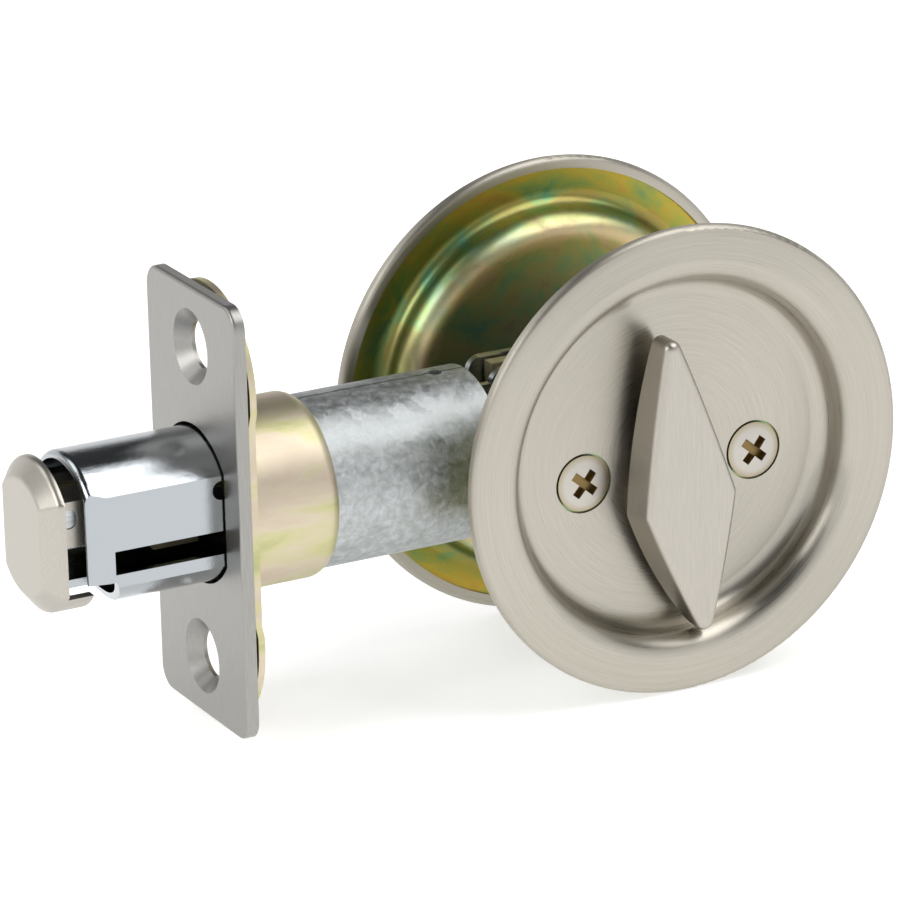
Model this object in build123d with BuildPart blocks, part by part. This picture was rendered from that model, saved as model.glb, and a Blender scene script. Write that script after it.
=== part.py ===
from build123d import *
from math import asin, cos, radians, sin, sqrt

# Pocket door lock: a tubular bolt with its edge plate, worked by a turn set in a dished rose.
# Origin: centre of the edge plate's front face, on the bolt's axis. X runs into the door,
# Y from the turn's side of the door to the coin slot's side, Z up. Millimetres.

# Door and layout
door_thickness = 35.0
backset = 60.325           # edge plate's front face to the rose axis
spindle_drop = 5.6         # the turn's axis lies this far below the bolt's axis
running_fit = 0.05         # radial room of a shaft that turns in its hole
seat_fit = 0.03            # room between pieces that are pushed or crimped together
hole_fit = 0.1             # radial room of a screw or a tube in a plain hole
slide_fit = 0.4            # room round the bolt in the edge plate
side_fit = 0.2             # room beside the crank and the fork

# Edge plate and the drawn plate behind it
faceplate_width = 25.4
faceplate_height = 57.15
faceplate_thickness = 1.6
faceplate_corner = 3.0
faceplate_edge_round = 0.5
plate_screw_margin = 7.925  # centre of each wood screw, inside the end of the edge plate
plate_screw_hole = 6.4
countersink_width = 9.8
countersink_depth = 1.8
screw_slope = 45.0         # degrees from the axis of a screw's countersink and its dimple
dimple_width = 12.0
dimple_depth = 0.6
backplate_inset = 0.4      # the drawn plate's sides, inside the edge plate's
backplate_overhang = 0.225  # the drawn plate's ends, beyond the edge plate's
backplate_thickness = 0.9
plate_gap = 0.2
joggle_depth = 0.3
joggle_start = 13.2        # height where the plate's ends step back from the edge plate
joggle_run = 1.6
backplate_screw_hole = 12.0
collar_diameter = 24.1
collar_end = 14.4
collar_nose = 1.6          # length of the rounded end of the collar

# Bolt and its case
bolt_radius = 10.0
bolt_flat = 8.0            # half the bolt's width between its flats
sleeve_wall = 1.0
sleeve_front = -18.5
sleeve_front_round = 0.9   # its front edge is drawn over a rounded die
sleeve_rear = 12.2
sleeve_slot_front = -15.0
sleeve_slot_top = -1.27
sleeve_slot_height = 3.06
sleeve_hole_x = -0.2
sleeve_hole_z = 4.1
sleeve_hole = 2.5
sleeve_taper = 0.6         # the near flat leans in this far at the sleeve's front end
sleeve_taper_length = 2.6
notch_top = -5.3           # the sleeve's front end has no underside below this height
notch_length = 3.5
notch_slope = 2.0
throw = 24.0
nose_thickness = 2.6
nose_bevel = 2.4
nose_bevel_run = 1.9
nose_round = 0.9
lip_thickness = 1.1
lip_top = -6.5
lip_far = 3.0              # the lip runs from the turn's side under the bolt to this y
stem_length = 8.4
stem_half_width = 5.4
stem_bottom = -0.6
stem_top = 5.4
nose_pin_x = -19.9
nose_pin_z = 3.1
nose_pin_diameter = 2.4
tube_diameter = 22.5
tube_wall = 0.9
tube_front = 2.0
tube_rear_reach = 22.025    # rear end of the case, ahead of the rose axis
tube_seam = 0.3
tube_hole = 1.8
tube_hole_margin = 4.1     # stake hole, ahead of the rear end of the case
guide_pin_diameter = 2.6
guide_pin_x = 8.0
guide_pin_reach = 1.2      # guide pin beyond the inside of the sleeve's flat

# Tail: two cheeks, the crank between them and the bar that it drives
cheek_thickness = 1.0
cheek_gap = 5.2
cheek_height = 22.6
cheek_front_reach = 19.925  # front end of the cheeks, ahead of the rose axis
cheek_rear_margin = 4.4    # plate left behind the rear screw post
cheek_corner = 2.0
tongue_length = 4.1        # tongues of the cheeks, inside the case
rivet_barrel = 5.0
rivet_shank = 3.0
rivet_head = 5.0
rivet_head_height = 0.8
rivet_front_reach = 15.825  # front rivet, ahead of the rose axis
rivet_rear_reach = 11.175  # rear rivet, behind the rose axis
crank_turn = 90.0          # the crank swings as far to each side of upright
crank_hub = 5.0
crank_journal = 3.95
crank_arm_width = 5.0
crank_arm_thickness = 2.1
crank_pin = 1.9
crank_pin_boss = 3.0
crank_detent = 0.25        # depth of the flats on the hub
bar_thickness = 2.0
bar_bottom = 1.5
bar_top = 7.6
bar_front_top = 5.0
bar_step_x = -10.0
tab_front = -6.1           # a tab on the bar, seen through the sleeve's slot
tab_length = 6.2
tab_bottom = -5.2
fork_top = 10.9
fork_prong = 3.2
fork_slot_bottom = 4.2
spring_thickness = 0.35
spring_wrap = 130.0        # degrees that each end of the spring wraps round its rivet

# Roses
rose_radius = 31.2
cover_sheet = 0.5
liner_sheet = 0.55
rim_height = 1.6           # outer edge of the flange, above the door
mouth_height = 2.15
mouth_radius = 23.9
floor_radius = 23.3
floor_depth = 3.2          # floor of the dish, below the door face
mouth_round = 3.0
floor_round = 2.4
rim_round = 0.4
hem_width = 1.6
hem_room = 0.15            # room between the edge of the liner and the bend of the hem
rose_screw_spacing = 25.1
rose_screw_drop = 2.05
rose_screw_head = 7.4
rose_screw_head_height = 1.7
rose_screw_shank = 3.5
rose_screw_length = 18.0
rose_screw_crown = 0.35
head_gap = 0.3             # room round a screw's head in the cover
recess_width = 1.15
recess_span = 4.0
recess_depth = 1.2
recess_turn = 50.0
post_diameter = 6.0
post_front = -10.2
post_room = 0.5

# Turn, spindle and coin slot
turn_tilt = 6.7            # degrees that the turn leans from upright with the bolt thrown
turn_long_arm = 26.4
turn_short_arm = 20.6
turn_half_width = 6.5      # at the face of the turn
turn_base_half_width = 7.7
turn_base_trim = 2.1       # the base's arms, shorter than the face's before rounding
turn_bulge = 0.9           # outward bow of the sides of the turn's base
turn_face_bulge = 0.1
turn_tip_round = 1.3
turn_side_round = 1.8
turn_thickness = 3.9
turn_edge_round = 1.2
turn_proud = 3.1           # face of the turn, above the door
hub_radius = 5.6
journal_radius = 4.5
journal_reach = 2.3        # journal beyond the back of the liner
clip_thickness = 0.8
clip_radius = 6.4
clip_groove = 0.6
clip_mouth = 6.0
spindle_radius = 3.2
spindle_flat = 1.2
spindle_bite = 5.0         # spindle inside each hub
coin_head_height = 2.4
coin_slot_width = 1.6
coin_slot_depth = 1.4

# Worked out from the sizes above
half_door = door_thickness / 2
tube_radius = tube_diameter / 2
tube_bore = tube_radius - tube_wall
collar_bore = tube_radius + hole_fit
tube_rear = backset - tube_rear_reach
tube_hole_x = tube_rear - tube_hole_margin
cheek_front_x = backset - cheek_front_reach
tongue_front = tube_rear - tongue_length
rivet_front_x = backset - rivet_front_reach
rivet_rear_x = backset + rivet_rear_reach
plate_back = faceplate_thickness + plate_gap
plate_screw_spacing = faceplate_height - 2 * plate_screw_margin
backplate_width = faceplate_width - 2 * backplate_inset
backplate_height = faceplate_height + 2 * backplate_overhang
crank_swing = radians(crank_turn / 2)
crank_radius = throw / 2 / sin(crank_swing)
crank_pin_x = backset - throw / 2
crank_pin_z = -spindle_drop + crank_radius * cos(crank_swing)
# Uneven travel of a crank against an even slide, largest where the two rates agree.
even_angle = asin(sqrt(1 - (2 * sin(crank_swing) / radians(crank_turn)) ** 2))
fork_play = crank_radius * sin(even_angle) - throw * even_angle / radians(crank_turn)
fork_slot_half = crank_pin + fork_play + side_fit
bar_front_y = hole_fit
nose_back = -throw + nose_thickness
liner_set_back = cover_sheet + seat_fit + liner_sheet / 2
floor_front = half_door - floor_depth
liner_back = floor_front - cover_sheet - seat_fit - liner_sheet
turn_axis = (backset, -spindle_drop)
screw_places = [(backset + side * rose_screw_spacing / 2, -rose_screw_drop) for side in (-1, 1)]
rivet_drop = spindle_drop + crank_hub - rivet_barrel / 2
rivet_places = [(rivet_front_x, -rivet_drop), (rivet_rear_x, -rivet_drop)]


def save(piece, name):
    """Label a finished piece and write it to its own file."""
    piece.part.label = name
    export_step(piece.part, f"parts/{name}.step")


def across(y):
    """Plane at the given y that faces the turn's side; its axes are X and Z."""
    return Plane.XZ.offset(-y)


def bolt_section(radius, flat):
    """Round bolt section with a flat on each side."""
    Circle(radius)
    Rectangle(2 * flat, 2 * radius, mode=Mode.INTERSECT)


def turned_face(points, x, z):
    """Half section of a piece turned about a line along Y; points are (radius, y)."""
    with BuildSketch(Plane((x, 0, z))) as half:
        with BuildLine():
            Polyline(*points, close=True)
        make_face()
    return half.sketch


def along_y(x, z):
    """Line along Y through the given point."""
    return Axis((x, 0, z), (0, 1, 0))


def spindle_section(room):
    """Round bar with one flat; the flat faces away from the bolt."""
    Circle(spindle_radius + room)
    with Locations((-spindle_radius, 0)):
        Rectangle(
            2 * spindle_radius + 2 * spindle_flat + 2 * room,
            4 * spindle_radius,
            mode=Mode.INTERSECT,
        )


def set_back(points, depth):
    """Path moved to its left by depth, with its corners mitred."""
    path = [Vector(*point) for point in points]
    sides = [(end - start).normalized().rotate(Axis.Z, 90) for start, end in zip(path, path[1:])]
    moved = [path[0] + sides[0] * depth]
    for corner, before, after in zip(path[1:-1], sides, sides[1:]):
        moved.append(corner + (before + after) * (depth / (1 + before.dot(after))))
    moved.append(path[-1] + sides[-1] * depth)
    return [(point.X, point.Y) for point in moved]


def rose_plane(out):
    """Half-section plane of a rose: radius across, height above the door face up."""
    return Plane((backset, out * half_door, 0), x_dir=(1, 0, 0), z_dir=(0, 0, out))


# Seen face of a rose from its rim over the mouth to the floor of the dish
rose_face = [
    (rose_radius, rim_height),
    (mouth_radius, mouth_height),
    (floor_radius, -floor_depth),
    (0, -floor_depth),
]


# Edge plate: stamped, with a dimpled countersink for each wood screw
with BuildPart() as faceplate:
    with BuildSketch(Plane.YZ):
        RectangleRounded(faceplate_width, faceplate_height, faceplate_corner)
    extrude(amount=faceplate_thickness)
    fillet(faceplate.faces().sort_by(Axis.X)[0].edges(), faceplate_edge_round)
    with BuildSketch(Plane.YZ.offset(faceplate_thickness)):
        with GridLocations(0, plate_screw_spacing, 1, 2):
            Circle(dimple_width / 2)
    extrude(amount=dimple_depth, taper=screw_slope)
    with BuildSketch(Plane.YZ):
        with GridLocations(0, plate_screw_spacing, 1, 2):
            Circle(countersink_width / 2)
    extrude(amount=countersink_depth, taper=screw_slope, mode=Mode.SUBTRACT)
    with BuildSketch(Plane.YZ):
        with GridLocations(0, plate_screw_spacing, 1, 2):
            Circle(plate_screw_hole / 2)
    extrude(amount=faceplate_thickness + dimple_depth, mode=Mode.SUBTRACT)
    with BuildSketch(Plane.YZ):
        bolt_section(bolt_radius + slide_fit, bolt_flat + slide_fit)
    extrude(amount=faceplate_thickness, mode=Mode.SUBTRACT)
save(faceplate, "faceplate")

# Backplate: one drawn piece, an oval plate with stepped ends and the collar of the case
joggle_end = joggle_start + joggle_run
bent_front = [
    (plate_back, 0),
    (plate_back, joggle_start),
    (plate_back + joggle_depth, joggle_end),
    (plate_back + joggle_depth, backplate_height / 2),
]
bent_rear = [(x + backplate_thickness, z) for x, z in reversed(bent_front)]
collar_start = plate_back + backplate_thickness / 2
with BuildPart() as backplate:
    with BuildSketch(Plane.XZ):
        with BuildLine():
            Polyline(*bent_front, *bent_rear, close=True)
        make_face()
        mirror(about=Plane.XZ)
    extrude(amount=backplate_width, both=True)
    with BuildSketch(Plane.YZ):
        SlotOverall(backplate_height, backplate_width, rotation=90)
    extrude(amount=collar_end, mode=Mode.INTERSECT)
    with BuildSketch(Plane.XZ):
        with BuildLine():
            Polyline(
                (collar_end, collar_bore),
                (collar_start, collar_bore),
                (collar_start, collar_diameter / 2),
                (collar_end - collar_nose, collar_diameter / 2),
            )
            TangentArc(
                (collar_end - collar_nose, collar_diameter / 2),
                (collar_end, collar_bore),
                tangent=(1, 0),
            )
        make_face()
    revolve(axis=Axis.X)
    with BuildSketch(Plane.YZ):
        Circle(collar_bore)
        with GridLocations(0, plate_screw_spacing, 1, 2):
            Circle(backplate_screw_hole / 2)
    extrude(amount=collar_end, mode=Mode.SUBTRACT)
save(backplate, "backplate")

# Case tube: rolled sheet with its seam along the top and a stake hole near the rear end
guide_pin_z = sleeve_slot_top - sleeve_slot_height / 2
with BuildPart() as case_tube:
    with BuildSketch(Plane.YZ.offset(tube_front)):
        Circle(tube_radius)
        Circle(tube_bore, mode=Mode.SUBTRACT)
    extrude(amount=tube_rear - tube_front)
    with BuildSketch(Plane.XY.offset(tube_bore / 2)):
        with Locations(((tube_front + tube_rear) / 2, 0)):
            Rectangle(tube_rear - tube_front, tube_seam)
        with Locations((tube_hole_x, 0)):
            Circle(tube_hole / 2)
    extrude(amount=tube_radius, mode=Mode.SUBTRACT)
    with BuildSketch(across(0)):
        with Locations((guide_pin_x, guide_pin_z)):
            Circle(guide_pin_diameter / 2 + seat_fit)
    extrude(amount=tube_radius, mode=Mode.SUBTRACT)
save(case_tube, "case_tube")

# Guide pin: a stud in the wall of the case, under the collar, that keeps the sleeve upright
guide_pin_inner = bolt_flat - sleeve_wall - guide_pin_reach
guide_pin_outer = sqrt(tube_radius**2 - (guide_pin_diameter / 2 - guide_pin_z) ** 2)
with BuildPart() as guide_pin:
    with BuildSketch(across(-guide_pin_inner)):
        with Locations((guide_pin_x, guide_pin_z)):
            Circle(guide_pin_diameter / 2)
    extrude(amount=guide_pin_outer - guide_pin_inner)
save(guide_pin, "guide_pin")

# Cheeks: two stamped plates whose tongues are pushed into the rear of the case tube
cheek_outer = cheek_gap / 2 + cheek_thickness
cheek_rear_x = screw_places[1][0] + cheek_rear_margin
tongue_half = sqrt((tube_bore - running_fit) ** 2 - cheek_outer**2)


def cheek(inner_y):
    """One cheek, its outline drawn at its face and given its thickness along -Y."""
    with BuildPart() as plate:
        with BuildSketch(across(inner_y)):
            with Locations(((cheek_front_x + cheek_rear_x) / 2, 0)):
                RectangleRounded(cheek_rear_x - cheek_front_x, cheek_height, cheek_corner)
            with Locations(((tongue_front + backset) / 2, 0)):
                Rectangle(backset - tongue_front, 2 * tongue_half)
            with Locations(turn_axis):
                Circle(crank_journal + running_fit, mode=Mode.SUBTRACT)
            with Locations(*screw_places):
                Circle(post_diameter / 2 + post_room, mode=Mode.SUBTRACT)
            with Locations(*rivet_places):
                Circle(rivet_shank / 2 + seat_fit, mode=Mode.SUBTRACT)
        extrude(amount=cheek_thickness)
    return plate


cheek_front = cheek(-cheek_gap / 2)
save(cheek_front, "cheek_front")
cheek_rear = cheek(cheek_outer)
save(cheek_rear, "cheek_rear")

# Rivets: the barrel of each keeps the cheeks apart
rivet_half = cheek_outer + rivet_head_height
rivet_section = [
    (0, -rivet_half),
    (rivet_head / 2, -rivet_half),
    (rivet_head / 2, -cheek_outer),
    (rivet_shank / 2, -cheek_outer),
    (rivet_shank / 2, -cheek_gap / 2),
    (rivet_barrel / 2, -cheek_gap / 2),
    (rivet_barrel / 2, cheek_gap / 2),
    (rivet_shank / 2, cheek_gap / 2),
    (rivet_shank / 2, cheek_outer),
    (rivet_head / 2, cheek_outer),
    (rivet_head / 2, rivet_half),
    (0, rivet_half),
]
with BuildPart() as cheek_rivets:
    for rivet_x, rivet_z in rivet_places:
        revolve(turned_face(rivet_section, rivet_x, rivet_z), axis=along_y(rivet_x, rivet_z))
save(cheek_rivets, "cheek_rivets")

# Detent spring: a leaf below the crank's hub, its ends wrapped round the two rivets
wrap_radius = rivet_barrel / 2 + running_fit + spring_thickness / 2
spring_z = -rivet_drop - wrap_radius
with BuildPart() as detent_spring:
    with BuildSketch(across(0)):
        with BuildLine():
            CenterArc(rivet_places[0], wrap_radius, 270 - spring_wrap, spring_wrap)
            Line((rivet_front_x, spring_z), (rivet_rear_x, spring_z))
            CenterArc(rivet_places[1], wrap_radius, 270, spring_wrap)
        trace(line_width=spring_thickness)
    extrude(amount=cheek_gap / 2 - 2 * side_fit, both=True)
save(detent_spring, "detent_spring")

# Bolt nose: cast, bevelled all round, with a lip that enters the sleeve's notch and a slotted stem
with BuildPart() as bolt_nose:
    with BuildSketch(Plane.YZ.offset(nose_bevel_run - throw)):
        bolt_section(bolt_radius, bolt_flat)
    extrude(amount=nose_thickness - nose_bevel_run)
    with BuildSketch(Plane.YZ.offset(-throw)):
        bolt_section(bolt_radius - nose_bevel, bolt_flat - nose_bevel)
    with BuildSketch(Plane.YZ.offset(nose_bevel_run - throw)):
        bolt_section(bolt_radius, bolt_flat)
    loft()
    nose_edges = bolt_nose.edges().filter_by_position(Axis.X, -throw, nose_bevel_run - throw)
    fillet(nose_edges, nose_round)
    with BuildSketch(Plane.YZ.offset(nose_back)):
        bolt_section(bolt_radius, bolt_flat)
        Circle(bolt_radius - lip_thickness, mode=Mode.SUBTRACT)
        with Locations(((lip_far - bolt_flat) / 2, -bolt_radius)):
            Rectangle(
                lip_far + bolt_flat,
                2 * (bolt_radius + lip_top),
                mode=Mode.INTERSECT,
            )
    extrude(amount=notch_length)
    with BuildSketch(Plane.YZ.offset(nose_back)):
        with Locations((0, (stem_bottom + stem_top) / 2)):
            Rectangle(2 * stem_half_width, stem_top - stem_bottom)
        with Locations((bar_front_y + bar_thickness / 2, (stem_bottom + stem_top) / 2)):
            Rectangle(bar_thickness + 2 * seat_fit, stem_top - stem_bottom, mode=Mode.SUBTRACT)
    extrude(amount=stem_length)
    with BuildSketch(across(0)):
        with Locations((nose_pin_x, nose_pin_z)):
            Circle(nose_pin_diameter / 2 + seat_fit)
    extrude(amount=stem_half_width, both=True, mode=Mode.SUBTRACT)
save(bolt_nose, "bolt_nose")

# Nose pin: joins the stem to the drive bar
with BuildPart() as nose_pin:
    with BuildSketch(across(0)):
        with Locations((nose_pin_x, nose_pin_z)):
            Circle(nose_pin_diameter / 2)
    extrude(amount=stem_half_width - side_fit, both=True)
save(nose_pin, "nose_pin")

# Bolt sleeve: folded sheet, slotted on the turn's side, its underside cut back at the front
slot_rear = guide_pin_x + guide_pin_diameter / 2 + slide_fit
with BuildPart() as bolt_sleeve:
    with BuildSketch(Plane.YZ.offset(sleeve_front)):
        bolt_section(bolt_radius, bolt_flat)
    extrude(amount=sleeve_rear - sleeve_front)
    front_arcs = bolt_sleeve.faces().sort_by(Axis.X)[0].edges().filter_by(GeomType.CIRCLE)
    fillet(front_arcs, sleeve_front_round)
    with BuildSketch(Plane.YZ.offset(sleeve_front)):
        bolt_section(bolt_radius - sleeve_wall, bolt_flat - sleeve_wall)
    extrude(amount=sleeve_rear - sleeve_front, mode=Mode.SUBTRACT)
    with BuildSketch(across(lip_far + slide_fit)):
        with BuildLine():
            Polyline(
                (sleeve_front, notch_top),
                (sleeve_front + notch_length, notch_top),
                (sleeve_front + notch_length + notch_slope, -bolt_radius),
                (sleeve_front, -bolt_radius),
                close=True,
            )
        make_face()
    extrude(amount=lip_far + slide_fit + bolt_flat, mode=Mode.SUBTRACT)
    with BuildSketch(across(0)):
        with Locations(((sleeve_slot_front + slot_rear) / 2, guide_pin_z)):
            Rectangle(slot_rear - sleeve_slot_front, sleeve_slot_height)
        with Locations((sleeve_hole_x, sleeve_hole_z)):
            Circle(sleeve_hole / 2)
    extrude(amount=bolt_flat, mode=Mode.SUBTRACT)
    with BuildSketch(Plane.XY):
        with BuildLine():
            Polyline(
                (sleeve_front, -bolt_flat),
                (sleeve_front + sleeve_taper_length, -bolt_flat),
                (sleeve_front, sleeve_taper - bolt_flat),
                close=True,
            )
        make_face()
    extrude(amount=bolt_radius, both=True, mode=Mode.SUBTRACT)
save(bolt_sleeve, "bolt_sleeve")

# Drive bar: a flat strip from the stem to the fork that the crank's pin moves in
fork_front = crank_pin_x - fork_slot_half - fork_prong
fork_rear = crank_pin_x + fork_slot_half + fork_prong
tab_rear = tab_front + tab_length
bar_outline = [
    (nose_pin_x, bar_bottom),
    (tab_front, bar_bottom),
    (tab_front, tab_bottom),
    (tab_rear, tab_bottom),
    (tab_rear, bar_bottom),
    (fork_rear, bar_bottom),
    (fork_rear, fork_top),
    (fork_front, fork_top),
    (fork_front, bar_top),
    (bar_step_x, bar_top),
    (bar_step_x - (bar_top - bar_front_top), bar_front_top),
    (nose_pin_x, bar_front_top),
]
with BuildPart() as drive_bar:
    with BuildSketch(across(bar_front_y + bar_thickness)):
        with BuildLine():
            Polyline(*bar_outline, close=True)
        make_face()
        with Locations((nose_pin_x, (bar_bottom + bar_front_top) / 2)):
            Rectangle(nose_pin_diameter, bar_front_top - bar_bottom)
        with Locations((nose_pin_x, nose_pin_z)):
            Circle(nose_pin_diameter / 2 + seat_fit, mode=Mode.SUBTRACT)
        with Locations((crank_pin_x, fork_slot_bottom + fork_top)):
            Rectangle(2 * fork_slot_half, 2 * fork_top, mode=Mode.SUBTRACT)
    extrude(amount=bar_thickness)
save(drive_bar, "drive_bar")

# Crank: a cast hub that turns in both cheeks, with an arm and a pin in the bar's fork
crank_side = cheek_gap / 2 - side_fit
arm_middle = ((backset + crank_pin_x) / 2, (crank_pin_z - spindle_drop) / 2)
with BuildPart() as crank:
    with BuildSketch(across(0)):
        with Locations(turn_axis):
            Circle(crank_hub)
            Rectangle(
                2 * (crank_hub - crank_detent),
                2 * (crank_hub - crank_detent),
                mode=Mode.INTERSECT,
            )
    extrude(amount=crank_side, both=True)
    with BuildSketch(across(crank_arm_thickness - crank_side)):
        with Locations(arm_middle):
            SlotCenterToCenter(crank_radius, crank_arm_width, rotation=90 + crank_turn / 2)
        with Locations((crank_pin_x, crank_pin_z)):
            Circle(crank_pin_boss)
    extrude(amount=crank_arm_thickness)
    with BuildSketch(across(crank_side)):
        with Locations((crank_pin_x, crank_pin_z)):
            Circle(crank_pin)
    extrude(amount=2 * crank_side)
    with BuildSketch(across(0)):
        with Locations(turn_axis):
            Circle(crank_journal)
    extrude(amount=cheek_outer + side_fit, both=True)
    with BuildSketch(across(0)):
        with Locations(turn_axis):
            spindle_section(seat_fit)
    extrude(amount=cheek_outer + side_fit, both=True, mode=Mode.SUBTRACT)
save(crank, "crank")


def bend_radii(depth):
    """Radii of the bends at the mouth and at the floor, set back by depth from the seen face."""
    return [mouth_round - depth, floor_round + depth]


# Room for a screw's head: a cone that leaves the shank's hole at its bottom
head_room = rose_screw_head / 2 + hole_fit
shank_room = rose_screw_shank / 2 + hole_fit
screw_cone = [
    (0, -floor_front),
    (head_room, -floor_front),
    (shank_room, rose_screw_head_height - floor_front),
    (0, rose_screw_head_height - floor_front),
]


def rose_cover(out, head_places):
    """Thin plated cover, its rim hemmed over the liner, with a hole for each screw head."""
    middle = cover_sheet / 2
    rim = rose_radius - middle
    dish = set_back(rose_face, middle)
    path = [(rose_radius - hem_width, middle), (rim, middle), (rim, dish[0][1]), *dish[1:]]
    with BuildPart() as cover:
        with BuildSketch(rose_plane(out)):
            with BuildLine():
                FilletPolyline(*path, radius=[rim_round, rim_round, *bend_radii(middle)])
            trace(line_width=cover_sheet)
        revolve(axis=along_y(backset, 0))
        with BuildSketch(across(0)):
            with Locations(turn_axis):
                Circle(journal_radius + side_fit)
            for place in head_places:
                with Locations(place):
                    Circle(rose_screw_head / 2 + head_gap)
        extrude(amount=-out * half_door, mode=Mode.SUBTRACT)
    return cover


def rose_liner(out, head_places):
    """Steel dish behind the cover: bearing of the turning hub, and a countersink for each screw."""
    dish = set_back(rose_face, liner_set_back)
    edge = rose_radius - cover_sheet - hem_room
    path = [(edge, dish[0][1]), *dish[1:]]
    with BuildPart() as liner:
        with BuildSketch(rose_plane(out)):
            with BuildLine():
                FilletPolyline(*path, radius=bend_radii(liner_set_back))
            trace(line_width=liner_sheet)
        revolve(axis=along_y(backset, 0))
        with BuildSketch(across(0)):
            with Locations(turn_axis):
                Circle(journal_radius + running_fit)
        extrude(amount=-out * half_door, mode=Mode.SUBTRACT)
        for place in head_places:
            revolve(turned_face(screw_cone, *place), axis=along_y(*place), mode=Mode.SUBTRACT)
    return liner


# Roses: the front one takes the screws, the rear one carries their posts
front_cover = rose_cover(-1, screw_places)
save(front_cover, "front_cover")
front_liner = rose_liner(-1, screw_places)
save(front_liner, "front_liner")
rear_cover = rose_cover(1, [])
save(rear_cover, "rear_cover")
rear_liner = rose_liner(1, [])
save(rear_liner, "rear_liner")

# Screw posts: tubes staked to the rear liner, through both cheeks
with BuildPart() as screw_posts:
    with BuildSketch(across(liner_back)):
        with Locations(*screw_places):
            Circle(post_diameter / 2)
            Circle(rose_screw_shank / 2 + running_fit, mode=Mode.SUBTRACT)
    extrude(amount=liner_back - post_front)
save(screw_posts, "screw_posts")

# Rose screws: oval heads with a cross recess
head_top = -floor_front - rose_screw_crown
screw_section = [
    (rose_screw_head / 2, -floor_front),
    (rose_screw_shank / 2, rose_screw_head_height - floor_front),
    (rose_screw_shank / 2, rose_screw_length - floor_front),
    (0, rose_screw_length - floor_front),
    (0, head_top),
]
with BuildPart() as rose_screws:
    for screw_x, screw_z in screw_places:
        with BuildSketch(Plane((screw_x, 0, screw_z))):
            with BuildLine():
                Polyline(*screw_section)
                TangentArc(screw_section[-1], screw_section[0], tangent=(1, 0))
            make_face()
        revolve(axis=along_y(screw_x, screw_z))
    with BuildSketch(across(head_top + recess_depth)):
        with Locations(*screw_places):
            Rectangle(recess_span, recess_width, rotation=recess_turn)
            Rectangle(recess_width, recess_span, rotation=recess_turn)
    extrude(amount=recess_depth, mode=Mode.SUBTRACT)
save(rose_screws, "rose_screws")


def journal_section(out, head_radius, head_y):
    """Hub between a head and the spindle: shoulder, bearing, clip groove and end; (radius, y)."""
    shoulder = out * (floor_front + side_fit)
    clip_outer = out * (liner_back - running_fit)
    clip_inner = clip_outer - out * (clip_thickness + running_fit)
    end = out * (liner_back - journal_reach)
    return [
        (0, head_y),
        (head_radius, head_y),
        (head_radius, shoulder),
        (journal_radius, shoulder),
        (journal_radius, clip_outer),
        (journal_radius - clip_groove, clip_outer),
        (journal_radius - clip_groove, clip_inner),
        (journal_radius, clip_inner),
        (journal_radius, end),
        (0, end),
    ]


def turn_outline(plane, half_width, trim, bulge):
    """Kite with rounded corners, its arms trimmed and its four sides bowed outwards."""
    upper = turn_long_arm - trim
    lower = turn_short_arm - trim
    corners = [(0, upper), (-half_width, 0), (0, -lower), (half_width, 0)]
    with BuildSketch(plane) as outline:
        with BuildLine():
            for start, end in zip(corners, corners[1:] + corners[:1]):
                SagittaArc(start, end, -bulge)
        make_face()
        tips = vertices().sort_by(Axis.Y)
        fillet([tips[0], tips[-1]], turn_tip_round)
        sides = vertices().sort_by(Axis.X)
        fillet([sides[0], sides[-1]], turn_side_round)
    return outline.sketch


# Turn piece: cast blade, longer above its hub than below and wider at its base than at its face
turn_face_y = -half_door - turn_proud
turn_back_y = turn_face_y + turn_thickness
journal_end = liner_back - journal_reach
lean = radians(turn_tilt)
turn_plane = Plane(
    (backset, turn_back_y, -spindle_drop),
    x_dir=(cos(lean), 0, sin(lean)),
    z_dir=(0, -1, 0),
)
with BuildPart() as turn_piece:
    turn_base = turn_outline(turn_plane, turn_base_half_width, turn_base_trim, turn_bulge)
    turn_front = turn_plane.offset(turn_thickness)
    turn_face = turn_outline(turn_front, turn_half_width, 0, turn_face_bulge)
    loft([turn_base, turn_face])
    fillet(turn_piece.faces().sort_by(Axis.Y)[0].edges(), turn_edge_round)
    revolve(
        turned_face(journal_section(-1, hub_radius, turn_back_y), *turn_axis),
        axis=along_y(*turn_axis),
    )
    with BuildSketch(across(-journal_end)):
        with Locations(turn_axis):
            spindle_section(seat_fit)
    extrude(amount=spindle_bite, mode=Mode.SUBTRACT)
save(turn_piece, "turn_piece")

# Spindle: drawn bar from the turn through the crank to the coin slot
spindle_half = journal_end + spindle_bite - side_fit
with BuildPart() as spindle:
    with BuildSketch(across(0)):
        with Locations(turn_axis):
            spindle_section(0)
    extrude(amount=spindle_half, both=True)
save(spindle, "spindle")

# Coin slot: a turned button in the floor of the rear rose
coin_face_y = floor_front + side_fit + coin_head_height
with BuildPart() as emergency_turn:
    revolve(
        turned_face(journal_section(1, hub_radius, coin_face_y), *turn_axis),
        axis=along_y(*turn_axis),
    )
    with BuildSketch(across(coin_face_y)):
        with Locations(turn_axis):
            Rectangle(coin_slot_width, 4 * hub_radius)
    extrude(amount=coin_slot_depth, mode=Mode.SUBTRACT)
    with BuildSketch(across(journal_end + spindle_bite)):
        with Locations(turn_axis):
            spindle_section(seat_fit)
    extrude(amount=spindle_bite, mode=Mode.SUBTRACT)
save(emergency_turn, "emergency_turn")


def hub_clip(front_y):
    """Open ring sprung into a hub's groove, with its thickness along -Y."""
    with BuildPart() as clip:
        with BuildSketch(across(front_y)):
            with Locations(turn_axis):
                Circle(clip_radius)
                Circle(journal_radius - clip_groove + seat_fit, mode=Mode.SUBTRACT)
            with Locations((backset, -spindle_drop - clip_radius)):
                Rectangle(clip_mouth, 2 * clip_radius, mode=Mode.SUBTRACT)
        extrude(amount=clip_thickness)
    return clip


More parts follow.
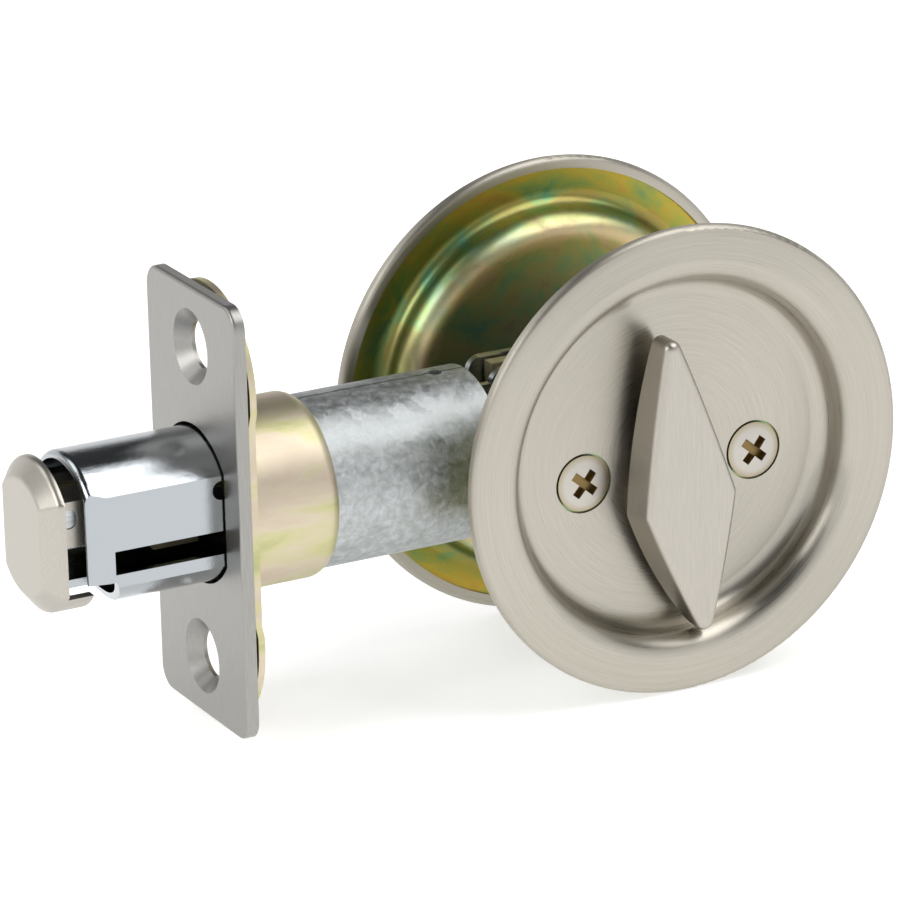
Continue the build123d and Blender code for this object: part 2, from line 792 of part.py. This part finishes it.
turn_clip = hub_clip(-liner_back + hole_fit + clip_thickness)
save(turn_clip, "turn_clip")
emergency_clip = hub_clip(liner_back - hole_fit)
save(emergency_clip, "emergency_clip")
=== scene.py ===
from math import radians

import bpy
import numpy as np
from mathutils import Matrix, Vector

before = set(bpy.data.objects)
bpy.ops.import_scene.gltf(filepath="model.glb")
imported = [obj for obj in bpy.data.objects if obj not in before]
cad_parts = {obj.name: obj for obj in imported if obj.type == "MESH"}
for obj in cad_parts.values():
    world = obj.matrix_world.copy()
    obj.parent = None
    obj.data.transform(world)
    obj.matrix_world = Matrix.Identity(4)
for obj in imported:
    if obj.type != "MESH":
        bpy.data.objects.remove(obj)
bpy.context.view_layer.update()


# Case tube. Galvanised strip steel, rolled to a tube with its seam on top.
# Each spangle of the zinc leans its own way, so reflections break up into ragged patches.
def linear(code):
    """sRGB hex to linear RGBA: c / 12.92 up to 0.04045, and ((c + 0.055) / 1.055) ** 2.4 above."""
    srgb = np.array([int(code[i:i + 2], 16) for i in (1, 3, 5)]) / 255
    rgb = np.where(srgb <= 0.04045, srgb / 12.92, ((srgb + 0.055) / 1.055) ** 2.4)
    return (*rgb.tolist(), 1.0)


def add_node(tree, kind, settings=None, links=None):
    """Add a node, set its properties or input sockets, and link other nodes' sockets to it."""
    made = tree.nodes.new(kind)
    for name, value in (settings or {}).items():
        if isinstance(name, str) and hasattr(made, name):
            setattr(made, name, value)
        else:
            made.inputs[name].default_value = value
    for name, source in (links or {}).items():
        tree.links.new(source, made.inputs[name])
    return made


def start_metal(name, colour, roughness):
    """New metal, whose colour and roughness hold until a pattern is linked in their place.

    Gives the material, its node tree, its shader and its Object coordinates.
    """
    material = bpy.data.materials.new(name)
    material.use_nodes = True
    tree = material.node_tree
    shader = tree.nodes["Principled BSDF"]
    shader.inputs["Base Color"].default_value = linear(colour)
    shader.inputs["Metallic"].default_value = 1.0
    shader.inputs["Roughness"].default_value = roughness
    place = add_node(tree, "ShaderNodeTexCoord")
    return material, tree, shader, place.outputs["Object"]


def set_ramp(ramp, stops):
    """Give a colour ramp its stops, each a position and an sRGB colour."""
    elements = ramp.color_ramp.elements
    while len(elements) < len(stops):
        elements.new(1.0)
    for element, (position, colour) in zip(elements, stops):
        element.position = position
        element.color = linear(colour)


def dress(material, *names):
    """Give CAD nodes one material."""
    for name in names:
        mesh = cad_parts[name].data
        mesh.materials.clear()
        mesh.materials.append(material)


MM = 0.001
SPANGLE = 2.4 * MM
STREAK = 1.1 * MM
STREAK_RELIEF = 0.1 * MM
RAGGED = 1.6 * MM  # how far the streaks pull a spangle's edge about
LEAN = 0.14  # spread of the sideways part of a spangle's unit normal
galvanised, tree, shader, place = start_metal("galvanised_steel", "#B6BABA", 0.5)
streaks = add_node(
    tree,
    "ShaderNodeTexNoise",
    {"Scale": 1 / STREAK, "Detail": 6.0, "Roughness": 0.65, "Distortion": 0.4},
    {"Vector": place},
)
ragged = add_node(
    tree,
    "ShaderNodeVectorMath",
    {"operation": "MULTIPLY_ADD", 1: (RAGGED,) * 3},
    {0: streaks.outputs["Color"], 2: place},
)
spangles = add_node(
    tree,
    "ShaderNodeTexVoronoi",
    {"Scale": 1 / SPANGLE, "Randomness": 1.0},
    {"Vector": ragged.outputs["Vector"]},
)
tones = add_node(tree, "ShaderNodeValToRGB", {}, {"Fac": streaks.outputs["Fac"]})
set_ramp(tones, [(0.3, "#9CA2A0"), (0.5, "#B6BABA"), (0.7, "#D0D3D6")])
tree.links.new(tones.outputs["Color"], shader.inputs["Base Color"])
gloss = add_node(
    tree,
    "ShaderNodeMapRange",
    {"From Min": 0.3, "From Max": 0.7, "To Min": 0.42, "To Max": 0.6},
    {"Value": streaks.outputs["Fac"]},
)
tree.links.new(gloss.outputs["Result"], shader.inputs["Roughness"])
grain = add_node(
    tree,
    "ShaderNodeBump",
    {"Strength": 0.3, "Distance": STREAK_RELIEF},
    {"Height": streaks.outputs["Fac"]},
)
lean = add_node(
    tree,
    "ShaderNodeVectorMath",
    {"operation": "MULTIPLY_ADD", 1: (LEAN,) * 3, 2: (-LEAN / 2,) * 3},
    {0: spangles.outputs["Color"]},
)
leaning = add_node(
    tree,
    "ShaderNodeVectorMath",
    {"operation": "ADD"},
    {0: grain.outputs["Normal"], 1: lean.outputs["Vector"]},
)
unit = add_node(tree, "ShaderNodeVectorMath", {"operation": "NORMALIZE"}, {0: leaning.outputs["Vector"]})
tree.links.new(unit.outputs["Vector"], shader.inputs["Normal"])
dress(galvanised, "case_tube")

# Backplate and collar. One drawn piece of steel, plated with zinc and passivated pale yellow.
# The film is thin, so it shifts between straw, green and rose in bands along the draw.
# The guide pin in the case wall has the same finish.
FILM_BAND = 6 * MM
FILM_STRETCH = 0.3
DRAW_MARK = 1.2 * MM
DRAW_RELIEF = 0.1 * MM
pale_zinc, tree, shader, place = start_metal("pale_yellow_zinc", "#CCC6A4", 0.48)
along = add_node(tree, "ShaderNodeMapping", {"Scale": (FILM_STRETCH, 1.0, 1.0)}, {"Vector": place})
film = add_node(
    tree,
    "ShaderNodeTexNoise",
    {"Scale": 1 / FILM_BAND, "Detail": 5.0, "Roughness": 0.55, "Distortion": 0.5},
    {"Vector": along.outputs["Vector"]},
)
hues = add_node(tree, "ShaderNodeValToRGB", {}, {"Fac": film.outputs["Fac"]})
set_ramp(
    hues,
    [(0.3, "#B2B684"), (0.42, "#CBC69A"), (0.52, "#D3C8B2"), (0.6, "#CFC0AE"), (0.72, "#CCC798")],
)
tree.links.new(hues.outputs["Color"], shader.inputs["Base Color"])
drawing = add_node(
    tree,
    "ShaderNodeTexNoise",
    {"Scale": 1 / DRAW_MARK, "Detail": 4.0, "Roughness": 0.55},
    {"Vector": place},
)
waviness = add_node(
    tree,
    "ShaderNodeBump",
    {"Strength": 0.12, "Distance": DRAW_RELIEF},
    {"Height": drawing.outputs["Fac"]},
)
tree.links.new(waviness.outputs["Normal"], shader.inputs["Normal"])
dress(pale_zinc, "backplate", "guide_pin")

# Edge plate. Stamped steel with a satin nickel finish, brushed up and down.
# The brushing dulls the shine and leaves faint upright lines, which are drawn coarser than life to show.
STROKE = 0.09 * MM
STROKE_STRETCH = 0.03
STROKE_RELIEF = 0.02 * MM
brushed, tree, shader, place = start_metal("satin_nickel_brushed_upright", "#A19F9B", 0.4)
along = add_node(tree, "ShaderNodeMapping", {"Scale": (1.0, 1.0, STROKE_STRETCH)}, {"Vector": place})
strokes = add_node(
    tree,
    "ShaderNodeTexNoise",
    {"Scale": 1 / STROKE, "Detail": 3.0, "Roughness": 0.6},
    {"Vector": along.outputs["Vector"]},
)
tones = add_node(tree, "ShaderNodeValToRGB", {}, {"Fac": strokes.outputs["Fac"]})
set_ramp(tones, [(0.3, "#9A9894"), (0.5, "#A19F9B"), (0.7, "#A8A6A2")])
tree.links.new(tones.outputs["Color"], shader.inputs["Base Color"])
grooves = add_node(
    tree,
    "ShaderNodeBump",
    {"Strength": 0.06, "Distance": STROKE_RELIEF},
    {"Height": strokes.outputs["Fac"]},
)
tree.links.new(grooves.outputs["Normal"], shader.inputs["Normal"])
dress(brushed, "faceplate")

# Bolt sleeve. Steel sheet, folded to a hollow bar with two flats, with bright chrome plating.
# It mirrors the studio, a little blurred by the sheet's own unevenness.
DENT = 0.5 * MM
DENT_STRETCH = 0.4
DENT_RELIEF = 0.07 * MM
chrome, tree, shader, place = start_metal("bright_chrome", "#ADB2B6", 0.1)
along = add_node(tree, "ShaderNodeMapping", {"Scale": (DENT_STRETCH, 1.0, 1.0)}, {"Vector": place})
dents = add_node(
    tree,
    "ShaderNodeTexNoise",
    {"Scale": 1 / DENT, "Detail": 6.0, "Roughness": 0.7},
    {"Vector": along.outputs["Vector"]},
)
gloss = add_node(
    tree,
    "ShaderNodeMapRange",
    {"From Min": 0.35, "From Max": 0.7, "To Min": 0.04, "To Max": 0.17},
    {"Value": dents.outputs["Fac"]},
)
tree.links.new(gloss.outputs["Result"], shader.inputs["Roughness"])
waviness = add_node(
    tree,
    "ShaderNodeBump",
    {"Strength": 0.45, "Distance": DENT_RELIEF},
    {"Height": dents.outputs["Fac"]},
)
tree.links.new(waviness.outputs["Normal"], shader.inputs["Normal"])
dress(chrome, "bolt_sleeve")

# Bolt nose. Zinc die casting with a satin nickel finish, tumbled until its edges are soft.
# Fine specks of the casting's skin keep its highlights broad.
SPECK = 0.2 * MM
SPECK_RELIEF = 0.02 * MM
cast, tree, shader, place = start_metal("satin_nickel_cast", "#BBB6AD", 0.38)
skin = add_node(
    tree,
    "ShaderNodeTexNoise",
    {"Scale": 1 / SPECK, "Detail": 3.0, "Roughness": 0.5},
    {"Vector": place},
)
tones = add_node(tree, "ShaderNodeValToRGB", {}, {"Fac": skin.outputs["Fac"]})
set_ramp(tones, [(0.3, "#B6B1A8"), (0.5, "#BBB6AD"), (0.7, "#C0BCB3")])
tree.links.new(tones.outputs["Color"], shader.inputs["Base Color"])
specks = add_node(
    tree,
    "ShaderNodeBump",
    {"Strength": 0.05, "Distance": SPECK_RELIEF},
    {"Height": skin.outputs["Fac"]},
)
tree.links.new(specks.outputs["Normal"], shader.inputs["Normal"])
dress(cast, "bolt_nose")

# Drive bar. Steel strip, stamped with a fork and pinned to the nose, and dulled by an old yellow chromate.
# Its tab shows as a brown gleam through the sleeve's slot.
DULL_PATCH = 3 * MM
dull_yellow, tree, shader, place = start_metal("dull_yellow_zinc", "#AEA684", 0.55)
film = add_node(
    tree,
    "ShaderNodeTexNoise",
    {"Scale": 1 / DULL_PATCH, "Detail": 4.0, "Roughness": 0.55},
    {"Vector": place},
)
hues = add_node(tree, "ShaderNodeValToRGB", {}, {"Fac": film.outputs["Fac"]})
set_ramp(hues, [(0.3, "#A0976F"), (0.5, "#AEA684"), (0.7, "#BBB49A")])
tree.links.new(hues.outputs["Color"], shader.inputs["Base Color"])
dress(dull_yellow, "drive_bar")

# Tail plates, posts, rivets and the nose's pin. Steel with bright blue-white zinc plating.
# Rolling leaves long faint streaks that follow the bolt's axis.
ROLLING_MARK = 0.5 * MM
ROLLING_STRETCH = 0.08
zinc, tree, shader, place = start_metal("bright_zinc", "#B9BDBF", 0.28)
along = add_node(tree, "ShaderNodeMapping", {"Scale": (ROLLING_STRETCH, 1.0, 1.0)}, {"Vector": place})
rolling = add_node(
    tree,
    "ShaderNodeTexNoise",
    {"Scale": 1 / ROLLING_MARK, "Detail": 4.0, "Roughness": 0.6},
    {"Vector": along.outputs["Vector"]},
)
tones = add_node(tree, "ShaderNodeValToRGB", {}, {"Fac": rolling.outputs["Fac"]})
set_ramp(tones, [(0.3, "#A6ABAD"), (0.5, "#B9BDBF"), (0.7, "#CBCED0")])
tree.links.new(tones.outputs["Color"], shader.inputs["Base Color"])
dress(zinc, "cheek_front", "cheek_rear", "cheek_rivets", "screw_posts", "nose_pin")

# Crank, spindle, spring and clips. Bare steel, cut or bent to shape and oiled.
# The oil darkens it unevenly.
OIL_PATCH = 2.5 * MM
oiled, tree, shader, place = start_metal("oiled_steel", "#7E7D79", 0.35)
oil = add_node(
    tree,
    "ShaderNodeTexNoise",
    {"Scale": 1 / OIL_PATCH, "Detail": 4.0, "Roughness": 0.55},
    {"Vector": place},
)
tones = add_node(tree, "ShaderNodeValToRGB", {}, {"Fac": oil.outputs["Fac"]})
set_ramp(tones, [(0.3, "#64625D"), (0.5, "#7E7D79"), (0.7, "#929190")])
tree.links.new(tones.outputs["Color"], shader.inputs["Base Color"])
dress(oiled, "crank", "spindle", "detent_spring", "turn_clip", "emergency_clip")

# Rose liners. Drawn steel dishes with a heavy yellow chromate on zinc.
# Rings of olive, teal and green in the film follow the dish, and its two bends carry painted light.
ROSE_X = 60.325 * MM
ROSE_RADIUS = 31.2 * MM
CLOUD = 5 * MM
CLOUD_ARC = 3.0
DRIFT = 0.12  # how far the clouds move a ring of the film, as a share of the radius
TINT_SHARE = 0.45
CRYSTAL = 0.35 * MM
CRYSTAL_RELIEF = 0.05 * MM


def round_rose(tree, place, stroke, arc):
    """Radius from the rose's axis, and a vector whose noise runs round that axis.

    The vector is (arc * cos a, radius / stroke, arc * sin a) for a point at angle a.
    """
    centred = add_node(
        tree,
        "ShaderNodeMapping",
        {"Location": (-ROSE_X, 0.0, 0.0), "Scale": (1.0, 0.0, 1.0)},
        {"Vector": place},
    )
    radius = add_node(tree, "ShaderNodeVectorMath", {"operation": "LENGTH"}, {0: centred.outputs["Vector"]})
    outward = add_node(
        tree, "ShaderNodeVectorMath", {"operation": "NORMALIZE"}, {0: centred.outputs["Vector"]}
    )
    steps = add_node(
        tree, "ShaderNodeMath", {"operation": "DIVIDE", 1: stroke}, {0: radius.outputs["Value"]}
    )
    rise = add_node(tree, "ShaderNodeCombineXYZ", {}, {"Y": steps.outputs["Value"]})
    both = add_node(
        tree,
        "ShaderNodeVectorMath",
        {"operation": "MULTIPLY_ADD", 1: (arc,) * 3},
        {0: outward.outputs["Vector"], 2: rise.outputs["Vector"]},
    )
    return radius.outputs["Value"], both.outputs["Vector"]


chromate, tree, shader, place = start_metal("yellow_chromate_zinc", "#9A9A60", 0.36)
radius, around = round_rose(tree, place, CLOUD, CLOUD_ARC)
clouds = add_node(
    tree,
    "ShaderNodeTexNoise",
    {"Scale": 1.0, "Detail": 6.0, "Roughness": 0.62, "Distortion": 0.5},
    {"Vector": around},
)
drift = add_node(
    tree,
    "ShaderNodeMath",
    {"operation": "MULTIPLY_ADD", 1: DRIFT, 2: -DRIFT / 2},
    {0: clouds.outputs["Fac"]},
)
share = add_node(
    tree,
    "ShaderNodeMath",
    {"operation": "MULTIPLY_ADD", 1: 1 / ROSE_RADIUS},
    {0: radius, 2: drift.outputs["Value"]},
)
# By radius: the cream ring round the floor's bend is a painted highlight, and the dark teal ring at the
# flange's bend is painted shade.
film_rings_and_painted_bend_light = add_node(tree, "ShaderNodeValToRGB", {}, {"Fac": share.outputs["Value"]})
set_ramp(
    film_rings_and_painted_bend_light,
    [
        (0.40, "#8AA8A0"),
        (0.66, "#9CA888"),
        (0.70, "#DCCBB4"),
        (0.74, "#E6DEC4"),
        (0.77, "#7FA88C"),
        (0.82, "#3F6A5A"),
        (0.88, "#868A48"),
        (0.93, "#B89E46"),
    ],
)
tints = add_node(tree, "ShaderNodeValToRGB", {}, {"Fac": clouds.outputs["Fac"]})
set_ramp(tints, [(0.30, "#4F9E82"), (0.42, "#98B25C"), (0.54, "#CDB144"), (0.68, "#C08A4A")])
film = add_node(
    tree,
    "ShaderNodeMix",
    {"data_type": "RGBA", "Factor": TINT_SHARE},
    {"A": film_rings_and_painted_bend_light.outputs["Color"], "B": tints.outputs["Color"]},
)
tree.links.new(film.outputs["Result"], shader.inputs["Base Color"])
crystals = add_node(
    tree,
    "ShaderNodeTexNoise",
    {"Scale": 1 / CRYSTAL, "Detail": 3.0, "Roughness": 0.6},
    {"Vector": place},
)
grain = add_node(
    tree,
    "ShaderNodeBump",
    {"Strength": 0.15, "Distance": CRYSTAL_RELIEF},
    {"Height": crystals.outputs["Fac"]},
)
tree.links.new(grain.outputs["Normal"], shader.inputs["Normal"])
dress(chromate, "front_liner", "rear_liner")

# Rose covers. Thin steel dishes, hemmed over the liners, with a satin nickel finish turned round the axis.
# The strokes end at random, which leaves a faint grain of arcs, drawn coarser than life to show.
# The rim is rolled over and scuffed by the rolling, so it falls away softly and is duller.
TURNING = 0.1 * MM
TURNING_ARC = 2.5
SCUFF = 0.18
ROLL_WIDTH = 1.6 * MM
ROLL_FALL = 0.12 * MM
turned, tree, shader, place = start_metal("satin_nickel_turned", "#B4AFA4", 0.3)
shader.inputs["Anisotropic"].default_value = 0.8
shader.inputs["Anisotropic Rotation"].default_value = 0.25
radius, around = round_rose(tree, place, TURNING, TURNING_ARC)
strokes = add_node(
    tree,
    "ShaderNodeTexNoise",
    {"Scale": 1.0, "Detail": 3.0, "Roughness": 0.6},
    {"Vector": around},
)
tones = add_node(tree, "ShaderNodeValToRGB", {}, {"Fac": strokes.outputs["Fac"]})
set_ramp(tones, [(0.3, "#ACA79C"), (0.5, "#B4AFA4"), (0.7, "#BCB7AC")])
tree.links.new(tones.outputs["Color"], shader.inputs["Base Color"])
gloss = add_node(
    tree,
    "ShaderNodeMapRange",
    {"From Min": 0.3, "From Max": 0.7, "To Min": 0.26, "To Max": 0.34},
    {"Value": strokes.outputs["Fac"]},
)
rim = add_node(
    tree,
    "ShaderNodeMapRange",
    {"From Min": ROSE_RADIUS - ROLL_WIDTH, "From Max": ROSE_RADIUS},
    {"Value": radius},
)
fall = add_node(
    tree,
    "ShaderNodeMath",
    {"operation": "MULTIPLY"},
    {0: rim.outputs["Result"], 1: rim.outputs["Result"]},
)
scuffed = add_node(
    tree,
    "ShaderNodeMath",
    {"operation": "MULTIPLY_ADD", 1: SCUFF},
    {0: fall.outputs["Value"], 2: gloss.outputs["Result"]},
)
tree.links.new(scuffed.outputs["Value"], shader.inputs["Roughness"])
rolled = add_node(
    tree,
    "ShaderNodeBump",
    {"invert": True, "Distance": ROLL_FALL},
    {"Height": fall.outputs["Value"]},
)
grooves = add_node(
    tree,
    "ShaderNodeBump",
    {"Strength": 0.03, "Distance": STROKE_RELIEF},
    {"Height": strokes.outputs["Fac"], "Normal": rolled.outputs["Normal"]},
)
tree.links.new(grooves.outputs["Normal"], shader.inputs["Normal"])
round_axis = add_node(tree, "ShaderNodeTangent", {"direction_type": "RADIAL", "axis": "Y"})
tree.links.new(round_axis.outputs["Tangent"], shader.inputs["Tangent"])
dress(turned, "front_cover", "rear_cover")

# Turn and coin slot. Zinc die castings with a satin nickel finish, held in the liners by open rings.
# They are brushed up and down with the bolt thrown, which leaves faint lines along the blade.
BLADE_STROKE = 0.12 * MM
BLADE_STRETCH = 0.04
blade, tree, shader, place = start_metal("satin_nickel_brushed_casting", "#B8B3AA", 0.37)
along = add_node(tree, "ShaderNodeMapping", {"Scale": (1.0, 1.0, BLADE_STRETCH)}, {"Vector": place})
strokes = add_node(
    tree,
    "ShaderNodeTexNoise",
    {"Scale": 1 / BLADE_STROKE, "Detail": 3.0, "Roughness": 0.6},
    {"Vector": along.outputs["Vector"]},
)
tones = add_node(tree, "ShaderNodeValToRGB", {}, {"Fac": strokes.outputs["Fac"]})
set_ramp(tones, [(0.3, "#B3AEA5"), (0.5, "#B8B3AA"), (0.7, "#BDB8AF")])
tree.links.new(tones.outputs["Color"], shader.inputs["Base Color"])
grooves = add_node(
    tree,
    "ShaderNodeBump",
    {"Strength": 0.04, "Distance": STROKE_RELIEF},
    {"Height": strokes.outputs["Fac"]},
)
tree.links.new(grooves.outputs["Normal"], shader.inputs["Normal"])
dress(blade, "turn_piece", "emergency_turn")

# Rose screws. Steel with a bright nickel finish, driven through the front rose into the rear one's posts.
# Below the head's face the colour turns brown, and darker with depth into the recess.
HEAD_Y = -14.3 * MM
FACE_BAND = 0.15 * MM
RECESS_DARKENING_DEPTH = 0.3 * MM
nickel, tree, shader, place = start_metal("bright_nickel", "#BEBAB2", 0.36)
where = add_node(tree, "ShaderNodeSeparateXYZ", {}, {"Vector": place})
depth = add_node(
    tree,
    "ShaderNodeMapRange",
    {"From Min": HEAD_Y - FACE_BAND, "From Max": HEAD_Y + RECESS_DARKENING_DEPTH},
    {"Value": where.outputs["Y"]},
)
tones = add_node(tree, "ShaderNodeValToRGB", {}, {"Fac": depth.outputs["Result"]})
set_ramp(tones, [(0.0, "#BEBAB2"), (0.4, "#A89A7C"), (1.0, "#836F48")])
tree.links.new(tones.outputs["Color"], shader.inputs["Base Color"])
dress(nickel, "rose_screws")

# Studio. A white floor in a room with white walls and a dark ceiling, lit by three soft boxes.
# The camera and the metal see the floor as white, and it keeps a faint shadow.
FLOOR_Z = -31.3 * MM
FLOOR_HALF = 3.0
FLOOR_GLOW = 0.56
paint, tree, shader, _ = start_metal("white_floor_paint", "#F0F0F0", 0.6)
shader.inputs["Metallic"].default_value = 0.0
shader.inputs["Specular IOR Level"].default_value = 0.0
shader.inputs["Emission Color"].default_value = linear("#FFFFFF")
rays = add_node(tree, "ShaderNodeLightPath")
straight = add_node(
    tree,
    "ShaderNodeMath",
    {"operation": "MAXIMUM"},
    {0: rays.outputs["Is Camera Ray"], 1: rays.outputs["Is Glossy Ray"]},
)
seen = add_node(
    tree,
    "ShaderNodeMath",
    {"operation": "MAXIMUM"},
    {0: straight.outputs["Value"], 1: rays.outputs["Is Transmission Ray"]},
)
glow = add_node(
    tree,
    "ShaderNodeMath",
    {"operation": "MULTIPLY", 1: FLOOR_GLOW},
    {0: seen.outputs["Value"]},
)
tree.links.new(glow.outputs["Value"], shader.inputs["Emission Strength"])
corners = FLOOR_HALF * np.array([(-1, -1, 0), (1, -1, 0), (1, 1, 0), (-1, 1, 0)]) + (0, 0, FLOOR_Z)
floor_mesh = bpy.data.meshes.new("floor")
floor_mesh.from_pydata(corners.tolist(), [], [(0, 1, 2, 3)])
floor_mesh.materials.append(paint)
floor = bpy.data.objects.new("floor", floor_mesh)
bpy.context.scene.collection.objects.link(floor)

MIDDLE = (35 * MM, 0.0, 0.0)


def soft_box(name, towards, distance, width, height, power):
    """Area lamp that stands off in a direction from the middle of the lock, and faces it."""
    lamp = bpy.data.lights.new(name, "AREA")
    lamp.shape = "RECTANGLE"
    lamp.size = width
    lamp.size_y = height
    lamp.energy = power
    box = bpy.data.objects.new(name, lamp)
    stand = Vector(towards).normalized() * distance
    facing = (-stand).to_track_quat("-Z", "Y").to_matrix().to_4x4()
    box.matrix_world = Matrix.Translation(Vector(MIDDLE) + stand) @ facing
    bpy.context.scene.collection.objects.link(box)


soft_box("key_box", towards=(0.43, -0.30, 0.85), distance=0.8, width=0.7, height=0.62, power=4.0)
soft_box("side_box", towards=(-0.80, -0.10, 0.56), distance=0.9, width=0.45, height=0.45, power=2.6)
soft_box("rim_box", towards=(-0.50, 0.45, 0.75), distance=0.9, width=0.4, height=0.5, power=1.2)

world = bpy.data.worlds.new("studio")
bpy.context.scene.world = world
world.use_nodes = True
tree = world.node_tree
sky = tree.nodes["Background"]
direction = add_node(tree, "ShaderNodeTexCoord")
heights = add_node(tree, "ShaderNodeSeparateXYZ", {}, {"Vector": direction.outputs["Generated"]})
walls = add_node(tree, "ShaderNodeValToRGB", {}, {"Fac": heights.outputs["Z"]})
set_ramp(
    walls,
    [(0.0, "#FFFFFF"), (0.3, "#FFFFFF"), (0.4, "#808080"), (0.52, "#4A4A4A"), (1.0, "#404040")],
)
tree.links.new(walls.outputs["Color"], sky.inputs["Color"])

# Camera. It stands where the photograph was taken from, a little above and to the left of the roses.
# The lens is long, and its place was fitted to the outlines of the edge plate, the tube and the roses.
IMAGE_WIDTH = 900
FOCAL_PIXELS = 5752.7
SENSOR = 36.0
AZIMUTH, ELEVATION, ROLL = radians(-27.527), radians(19.176), radians(-1.387)
STAND = (-286.57 * MM, -619.21 * MM, 243.20 * MM)
lens = bpy.data.cameras.new("camera")
lens.sensor_width = SENSOR
lens.lens = SENSOR * FOCAL_PIXELS / IMAGE_WIDTH
camera = bpy.data.objects.new("camera", lens)
turned_round = Matrix.Rotation(AZIMUTH, 4, "Z") @ Matrix.Rotation(radians(90) - ELEVATION, 4, "X")
camera.matrix_world = Matrix.Translation(STAND) @ turned_round @ Matrix.Rotation(ROLL, 4, "Z")
bpy.context.scene.collection.objects.link(camera)
bpy.context.scene.camera = camera
bpy.context.scene.view_settings.view_transform = "Standard"
